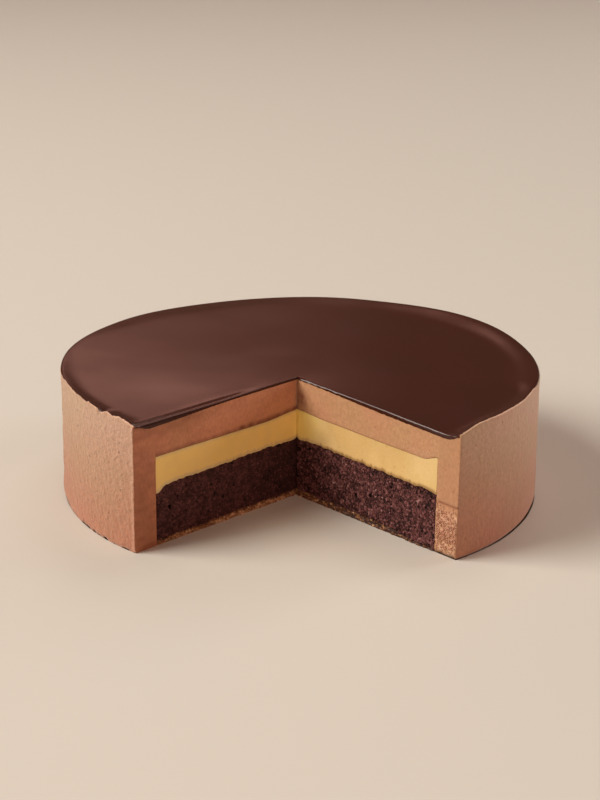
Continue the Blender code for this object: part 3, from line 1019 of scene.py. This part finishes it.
def spongeCrumbSpot(draw):
    side = "left" if draw.random() < 0.25 else "right"
    along = draw.uniform(1.5 * mm, cutLength(side, layerRadius - 0.6 * mm))
    if draw.random() < 0.12:
        along = cutLength(side, layerRadius) - draw.uniform(0.0, 0.9 * mm)
    share = draw.random()
    if draw.random() < 0.25:
        share = draw.choice((0.02, 0.97)) + draw.uniform(-0.02, 0.02)
    spot = cutPoint(side, along, 0.0, 0.0)
    low = spongeUnderHeight(spot.x, spot.y)
    height = low + share * (spongeTopHeight(spot.x, spot.y) - low)
    push, tone = spongeRelief(side, along, height, share)
    # crumbs inside a pore keep the pore's painted shade
    if push < spongeSettings["poreStart"]:                   # crumbs inside a pore stay dark
        tone = max(0.28, tone)
    tone += draw.uniform(-0.12, 0.14)
    if side == "right" and draw.random() < 0.05:
        tone += 0.35
    return side, along, height, push, tone


def biscuitCrumbSpot(draw):
    side = "left" if draw.random() < 0.55 else "right"
    along = draw.uniform(1.5 * mm, cutLength(side, layerRadius - 0.6 * mm))
    spot = cutPoint(side, along, 0.0, 0.0)
    share = draw.uniform(0.10, 1.05)
    height = max(0.3 * mm, share * baseTopHeight(spot.x, spot.y))
    push = baseRelief(side, along, height, share)[0]
    tone = draw.uniform(0.20, 0.50)
    if draw.random() < 0.12:
        tone = draw.uniform(0.85, 1.0)
    return side, along, height, push, tone


def mousseCrumbSpot(draw):
    # the airy crumb at the foot of the right cut
    inner = cutLength("right", fillRadius) + 0.2 * mm
    along = draw.uniform(inner, cutLength("right", cakeRadius) - 0.3 * mm)
    height = draw.triangular(0.6 * mm, 0.97 * mousseSettings["roughHeight"], 8.0 * mm)
    push = mousseCutRelief("right", along, height)[0]
    return "right", along, height, push, draw.choice((0.44, 0.50, 0.56, 0.62, 0.70))


def fleckSpot(draw):
    along = draw.triangular(50.0 * mm, 69.0 * mm, 64.0 * mm)
    spot = cutPoint("right", along, 0.0, 0.0)
    height = custardTopHeight(spot.x, spot.y) + draw.uniform(0.4, 2.6) * mm
    push = mousseCutRelief("right", along, height)[0]
    return "right", along, height, push, draw.uniform(0.72, 0.95)


def scatterCrumbs(name, findSpot):
    settings = crumbSettings[name]
    draw = random.Random(settings["seed"])
    bm = newMesh()
    for i in range(settings["count"]):
        side, along, height, push, tone = findSpot(draw)
        size = draw.uniform(*settings["size"]) * mm
        place = cutPoint(side, along, height, push - 0.12 * size)
        place.z = max(0.5 * size, place.z)
        addCrumb(bm, draw, place, size, tone)
    return makePiece(name, bm, None, 180.0)


spongeCrumbs = scatterCrumbs("spongeCrumbs", spongeCrumbSpot)
biscuitCrumbs = scatterCrumbs("biscuitCrumbs", biscuitCrumbSpot)
mousseCrumbs = scatterCrumbs("mousseCrumbs", mousseCrumbSpot)
paleFlecks = scatterCrumbs("paleFlecks", fleckSpot)
print("crumbs scattered")

floorSettings = {"size": 12.0, "colour": (0.58, 0.565, 0.515), "roughness": 0.6}


def newMaterial(name, roughness):
    material = bpy.data.materials.new(name)
    material.use_nodes = True
    shader = material.node_tree.nodes["Principled BSDF"]
    shader.inputs["Roughness"].default_value = roughness
    return material, material.node_tree, shader


def setInputs(tree, node, values):       # each value is a link or a plain setting, named or numbered
    for name, value in dict(values).items():
        if isinstance(value, bpy.types.NodeSocket):
            tree.links.new(value, node.inputs[name])
        else:
            node.inputs[name].default_value = value


def addFloor():
    bm = bmesh.new()
    bmesh.ops.create_grid(bm, x_segments=1, y_segments=1, size=floorSettings["size"] / 2.0)
    mesh = bpy.data.meshes.new("floor")
    bm.to_mesh(mesh)
    bm.free()
    floor = bpy.data.objects.new("floor", mesh)
    bpy.context.scene.collection.objects.link(floor)
    material, tree, shader = newMaterial("paleFloor", floorSettings["roughness"])
    setInputs(tree, shader, {"Base Color": (*floorSettings["colour"], 1.0)})
    mesh.materials.append(material)


addFloor()


def put(tree, kind, values=(), **options):
    node = tree.nodes.new("ShaderNode" + kind)
    for name, value in options.items():
        setattr(node, name, value)
    setInputs(tree, node, values)
    return node


def calc(tree, operation, *values):
    return put(tree, "Math", enumerate(values), operation=operation).outputs[0]


def addScaled(tree, base, value, amount):
    return calc(tree, "ADD", base, calc(tree, "MULTIPLY", value, amount))


def sway(tree, base, value, amount):     # moves the base as the value leaves a half
    return addScaled(tree, base, calc(tree, "SUBTRACT", value, 0.5), amount)


def fade(tree, value, low, high, start=0.0, end=1.0):
    settings = {"Value": value, "From Min": low, "From Max": high, "To Min": start, "To Max": end}
    return put(tree, "MapRange", settings, interpolation_type="SMOOTHSTEP").outputs[0]


def fullColour(colour):                  # a link as it is, or a plain colour made opaque
    return colour if isinstance(colour, bpy.types.NodeSocket) else (*colour, 1.0)


def mixColour(tree, share, first, second, blend="MIX"):
    values = {0: share, 6: fullColour(first), 7: fullColour(second)}
    return put(tree, "Mix", values, data_type="RGBA", blend_type=blend).outputs[2]


def ramp(tree, value, stops):
    node = put(tree, "ValToRGB", {"Fac": value})
    points = node.color_ramp.elements
    while len(points) < len(stops):
        points.new(0.5)
    for point, (position, colour) in zip(points, stops):
        point.position = position
        point.color = (*colour, 1.0)
    return node.outputs["Color"]


def newGroup(name, inputs, outputs):
    group = bpy.data.node_groups.new(name, "ShaderNodeTree")
    for label, start in inputs.items():
        kind = "NodeSocketVector" if start is None else "NodeSocketFloat"
        socket = group.interface.new_socket(name=label, in_out="INPUT", socket_type=kind)
        if start is not None:
            socket.default_value = start
    for label in outputs:
        group.interface.new_socket(name=label, in_out="OUTPUT", socket_type="NodeSocketFloat")
    given = group.nodes.new("NodeGroupInput").outputs
    return group, given, group.nodes.new("NodeGroupOutput")


def makeGrainGroup():
    # fine food grain with small round air pores; scales are features per metre
    inputs = {"Vector": None, "Grain Scale": 1200.0, "Grain Detail": 4.0, "Pore Scale": 500.0,
              "Pore Share": 0.3}
    group, given, result = newGroup("foodGrain", inputs, ("Grain", "Pores", "Height"))
    grain = put(group, "TexNoise", {"Vector": given["Vector"], "Scale": given["Grain Scale"],
                                    "Detail": given["Grain Detail"], "Roughness": 0.62}).outputs[0]
    pore = put(group, "TexVoronoi", {"Vector": given["Vector"], "Scale": given["Pore Scale"]})
    draw = put(group, "SeparateColor", {"Color": pore.outputs["Color"]}).outputs[0]
    chosen = calc(group, "LESS_THAN", draw, given["Pore Share"])
    hole = calc(group, "MULTIPLY", fade(group, pore.outputs["Distance"], 0.30, 0.10), chosen)
    height = calc(group, "SUBTRACT", grain, hole)
    setInputs(group, result, {"Grain": grain, "Pores": hole, "Height": height})
    return group


def makeMottleGroup():
    # soft patches, drawn out up and down by the stretch, and thin creases where they meet
    inputs = {"Vector": None, "Scale": 50.0, "Stretch": 1.0}
    group, given, result = newGroup("softMottle", inputs, ("Patches", "Streaks", "Creases"))
    spread = put(group, "CombineXYZ", {0: 1.0, 1: 1.0, 2: given["Stretch"]}).outputs[0]
    drawn = put(group, "VectorMath", {0: given["Vector"], 1: spread}, operation="MULTIPLY").outputs[0]
    cloud = put(group, "TexNoise", {"Vector": drawn, "Scale": given["Scale"], "Detail": 2.0}).outputs[0]
    away = calc(group, "ABSOLUTE", calc(group, "SUBTRACT", cloud, 0.5))
    setInputs(group, result, {"Patches": fade(group, cloud, 0.34, 0.66), "Streaks": cloud,
                              "Creases": fade(group, away, 0.055, 0.0)})
    return group


grainGroup = makeGrainGroup()
mottleGroup = makeMottleGroup()


def useGroup(tree, group, place, values):
    return put(tree, "Group", {"Vector": place, **values}, node_tree=group).outputs


def objectPlace(tree):
    return put(tree, "TexCoord").outputs["Object"]


def axisValue(tree, place, axis):        # 0 is to the side and 2 is up
    return put(tree, "SeparateXYZ", {0: place}).outputs[axis]


def attributeValue(tree, name):
    return put(tree, "Attribute", attribute_name=name).outputs["Fac"]


# the right cut takes the lit colour and the left cut the shaded one: painted light and shade of the two cut
# faces
def litRightShadedLeft(tree, sideways, right, left):                 # one colour for each cut
    return mixColour(tree, fade(tree, sideways, -1.0 * mm, -3.0 * mm), right, left)


def toneColour(tree, colour, pale, dark):
    # the mesh's tone makes a colour paler above a half and darker below it
    tone = attributeValue(tree, "tone")
    colour = mixColour(tree, fade(tree, tone, 0.5, 1.0), colour, pale)
    return mixColour(tree, fade(tree, tone, 0.5, 0.0), colour, dark)


def bumpFrom(tree, height, distance, strength):
    return put(tree, "Bump", {"Height": height, "Distance": distance, "Strength": strength}).outputs[0]


mousseLook = {
    "foot": (0.405, 0.172, 0.100),
    "low": (0.405, 0.192, 0.112),
    "middle": (0.415, 0.240, 0.146),
    "top": (0.460, 0.296, 0.202),
    "skinHeight": 0.048,
    # cut: the mousse as lit on the right cut; the next colour is its painted shade on the left cut
    "cut": (0.450, 0.243, 0.129),
    "leftCutInShade": (0.520, 0.220, 0.108),
    # pale: also the colour of the painted highlight along the lip and by the left corner
    "pale": (0.720, 0.470, 0.330),
    # dark: the mousse's darkest tone, used also for the painted shade at seams, crease, foot, crack,
    # creases and pores
    "dark": (0.190, 0.056, 0.025),
    "tan": (0.99, 1.02, 0.97),
    "pink": (1.03, 0.97, 0.99),
    "grainShade": ((0.30, (0.82, 0.80, 0.79)), (0.70, (1.18, 1.19, 1.20))),
    "blotch": {"Scale": 48.0, "Stretch": 0.8},
    "film": {"Scale": 420.0, "Stretch": 0.85},
    "fineFilm": {"Scale": 900.0, "Stretch": 0.8},
    "grain": {"Grain Scale": 1500.0, "Pore Scale": 420.0, "Pore Share": 0.06},
    "roughness": (0.50, 0.68),
    "bump": (0.0005, 0.8),               # distance and strength
    "shader": {"Specular IOR Level": 0.30, "Sheen Weight": 0.42, "Sheen Roughness": 0.4,
               "Sheen Tint": (1.0, 0.85, 0.75, 1.0)},
}


def makeMousseMaterial():
    look = mousseLook
    material, tree, shader = newMaterial("mousseLook", 0.58)
    place = objectPlace(tree)
    sideways = axisValue(tree, place, 0)
    onCutFace = attributeValue(tree, "cutFace")
    skin = ramp(tree, calc(tree, "DIVIDE", axisValue(tree, place, 2), look["skinHeight"]),
                ((0.03, look["foot"]), (0.25, look["low"]), (0.58, look["middle"]), (0.92, look["top"])))
    colour = mixColour(tree, onCutFace, skin, litRightShadedLeft(tree, sideways, look["cut"], look["leftCutInShade"]))
    blotch = useGroup(tree, mottleGroup, place, look["blotch"])["Patches"]
    colour = mixColour(tree, 1.0, colour, mixColour(tree, blotch, look["tan"], look["pink"]), "MULTIPLY")
    onLeft = fade(tree, sideways, 30.0 * mm, -30.0 * mm, 0.25, 1.0)
    onLeft = calc(tree, "MULTIPLY", onLeft, fade(tree, onCutFace, 0.0, 1.0, 1.0, 0.4))
    film = useGroup(tree, mottleGroup, place, look["film"])
    fineFilm = useGroup(tree, mottleGroup, place, look["fineFilm"])
    grain = useGroup(tree, grainGroup, place, look["grain"])
    fine = addScaled(tree, calc(tree, "MULTIPLY", fineFilm["Streaks"], 0.5), grain["Grain"], 0.5)
    colour = mixColour(tree, 1.0, colour, ramp(tree, fine, look["grainShade"]), "MULTIPLY")
    folds = calc(tree, "MULTIPLY", film["Creases"], calc(tree, "SUBTRACT", onLeft, onCutFace))
    folds = calc(tree, "MAXIMUM", folds, 0.0)
    # darker along the film's creases and in the air pores: painted shade
    for marks, share in ((folds, 0.06), (grain["Pores"], 0.35)):
        colour = mixColour(tree, calc(tree, "MULTIPLY", marks, share), colour, look["dark"])
    relief = addScaled(tree, grain["Height"], film["Streaks"], 1.6)
    relief = addScaled(tree, relief, fineFilm["Streaks"], 0.8)
    relief = addScaled(tree, calc(tree, "MULTIPLY", relief, onLeft), folds, -0.15)
    setInputs(tree, shader, {
        "Base Color": toneColour(tree, colour, look["pale"], look["dark"]),
        "Roughness": fade(tree, grain["Grain"], 0.25, 0.75, *look["roughness"]),
        "Normal": bumpFrom(tree, relief, *look["bump"]),
        **look["shader"],
    })
    return material


custardLook = {
    "body": (0.675, 0.480, 0.205),
    "shade": (0.635, 0.435, 0.175),
    "lit": (0.715, 0.520, 0.238),
    # bright: the custard as lit on the right cut, also used for the painted light near the crease; the next
    # colour is its painted shade on the left cut
    "bright": (0.940, 0.750, 0.230),
    "leftShadedCustard": (0.900, 0.615, 0.172),
    "dragged": (0.270, 0.140, 0.045),
    "pore": (0.450, 0.240, 0.070),
    "grainShade": ((0.30, (0.95, 0.94, 0.92)), (0.70, (1.04, 1.04, 1.05))),
    "band": {"Scale": 70.0, "Stretch": 0.6},
    "streak": {"Scale": 700.0, "Stretch": 0.2},
    "grain": {"Grain Scale": 1100.0, "Pore Scale": 300.0, "Pore Share": 0.06},
    "roughness": (0.34, 0.50),
    "bump": (0.00012, 0.35),
    "shader": {"Specular IOR Level": 0.35, "Subsurface Weight": 0.12, "Subsurface Scale": 0.003,
               "Subsurface Radius": (1.0, 0.7, 0.35)},
}


def makeCustardMaterial():
    look = custardLook
    material, tree, shader = newMaterial("custardLook", 0.40)
    place = objectPlace(tree)
    band = useGroup(tree, mottleGroup, place, look["band"])["Patches"]
    grain = useGroup(tree, grainGroup, place, look["grain"])
    colour = ramp(tree, band, ((0.0, look["shade"]), (0.5, look["body"]), (1.0, look["lit"])))
    colour = mixColour(tree, 1.0, colour, ramp(tree, grain["Grain"], look["grainShade"]), "MULTIPLY")
    # the pores are tinted with a darker colour: painted shade in them
    colour = mixColour(tree, calc(tree, "MULTIPLY", grain["Pores"], 0.3), colour, look["pore"])
    bright = litRightShadedLeft(tree, axisValue(tree, place, 0), look["bright"], look["leftShadedCustard"])
    streak = useGroup(tree, mottleGroup, place, look["streak"])["Streaks"]
    setInputs(tree, shader, {
        "Base Color": toneColour(tree, colour, bright, look["dragged"]),
        "Roughness": fade(tree, grain["Grain"], 0.25, 0.75, *look["roughness"]),
        "Normal": bumpFrom(tree, addScaled(tree, grain["Height"], streak, 0.6), *look["bump"]),
        **look["shader"],
    })
    return material


spongeLook = {
    # hole: nearly black, the painted shade inside the pores
    "hole": (0.008, 0.0025, 0.0025),
    "dark": (0.038, 0.0110, 0.0100),
    "body": (0.120, 0.0390, 0.0365),
    "warm": (0.198, 0.0800, 0.0770),
    "pale": (0.360, 0.2200, 0.2050),
    "grain": {"Grain Scale": 1900.0, "Grain Detail": 5.0, "Pore Scale": 1100.0, "Pore Share": 0.35},
    "roughness": (0.62, 0.88),
    "bump": (0.0003, 0.8),
    "shader": {"Specular IOR Level": 0.22},
}


def makeSpongeMaterial():
    look = spongeLook
    material, tree, shader = newMaterial("spongeLook", 0.8)
    grain = useGroup(tree, grainGroup, objectPlace(tree), look["grain"])
    moved = sway(tree, attributeValue(tree, "tone"), grain["Grain"], 0.28)
    # darker in the grain's pores: painted shade
    moved = addScaled(tree, moved, grain["Pores"], -0.12)
    setInputs(tree, shader, {
        "Base Color": ramp(tree, moved, ((0.06, look["hole"]), (0.24, look["dark"]), (0.42, look["body"]),
                                         (0.64, look["warm"]), (1.00, look["pale"]))),
        "Roughness": fade(tree, grain["Grain"], 0.3, 0.7, *look["roughness"]),
        "Normal": bumpFrom(tree, grain["Height"], *look["bump"]),
        **look["shader"],
    })
    return material


baseLook = {
    "hole": (0.035, 0.010, 0.005),
    "dark": (0.120, 0.040, 0.015),
    "body": (0.270, 0.120, 0.040),
    "gold": (0.435, 0.235, 0.110),
    "pale": (0.720, 0.470, 0.320),
    "grain": {"Grain Scale": 1500.0, "Grain Detail": 5.0, "Pore Scale": 900.0, "Pore Share": 0.30},
    "patch": {"Scale": 160.0, "Stretch": 1.0},
    "roughness": (0.50, 0.80),
    "bump": (0.0003, 0.7),
}


def makeBaseMaterial():
    look = baseLook
    material, tree, shader = newMaterial("baseLook", 0.7)
    place = objectPlace(tree)
    grain = useGroup(tree, grainGroup, place, look["grain"])
    patch = useGroup(tree, mottleGroup, place, look["patch"])["Patches"]
    moved = sway(tree, attributeValue(tree, "tone"), grain["Grain"], 0.42)
    moved = sway(tree, moved, patch, 0.18)
    setInputs(tree, shader, {
        "Base Color": ramp(tree, moved, ((0.02, look["hole"]), (0.22, look["dark"]), (0.42, look["body"]),
                                         (0.66, look["gold"]), (0.98, look["pale"]))),
        "Roughness": fade(tree, grain["Grain"], 0.3, 0.7, *look["roughness"]),
        "Normal": bumpFrom(tree, grain["Height"], *look["bump"]),
    })
    return material


glazeLook = {
    "body": (0.0410, 0.0104, 0.0060),
    "deep": (0.0370, 0.0092, 0.0052),
    "cloud": {"Scale": 26.0, "Stretch": 1.0},
    "grain": {"Grain Scale": 420.0, "Grain Detail": 2.0, "Pore Scale": 95.0, "Pore Share": 0.10},
    "roughness": (0.17, 0.25),
    "bump": (0.0003, 0.30),
    "shader": {"IOR": 1.42, "Specular IOR Level": 0.40},
}


def makeGlazeMaterial():
    look = glazeLook
    material, tree, shader = newMaterial("glazeLook", 0.2)
    place = objectPlace(tree)
    cloud = useGroup(tree, mottleGroup, place, look["cloud"])
    grain = useGroup(tree, grainGroup, place, look["grain"])
    bubbles = fade(tree, calc(tree, "SUBTRACT", 1.0, grain["Pores"]), 0.2, 1.0)
    relief = addScaled(tree, calc(tree, "MULTIPLY", cloud["Streaks"], 2.0), grain["Grain"], 0.05)
    relief = addScaled(tree, relief, bubbles, 0.06)
    setInputs(tree, shader, {
        "Base Color": mixColour(tree, cloud["Patches"], look["body"], look["deep"]),
        "Roughness": fade(tree, cloud["Streaks"], 0.3, 0.7, *look["roughness"]),
        "Normal": bumpFrom(tree, relief, *look["bump"]),
        **look["shader"],
    })
    return material


def dress(material, *pieces):
    for piece in pieces:
        piece.data.materials.append(material)


dress(makeMousseMaterial(), moussePiece, mousseCrumbs, paleFlecks)
dress(makeCustardMaterial(), custardPiece)
dress(makeSpongeMaterial(), spongePiece, spongeCrumbs)
dress(makeBaseMaterial(), basePiece, biscuitCrumbs)
dress(makeGlazeMaterial(), glazePiece)
print("materials made")
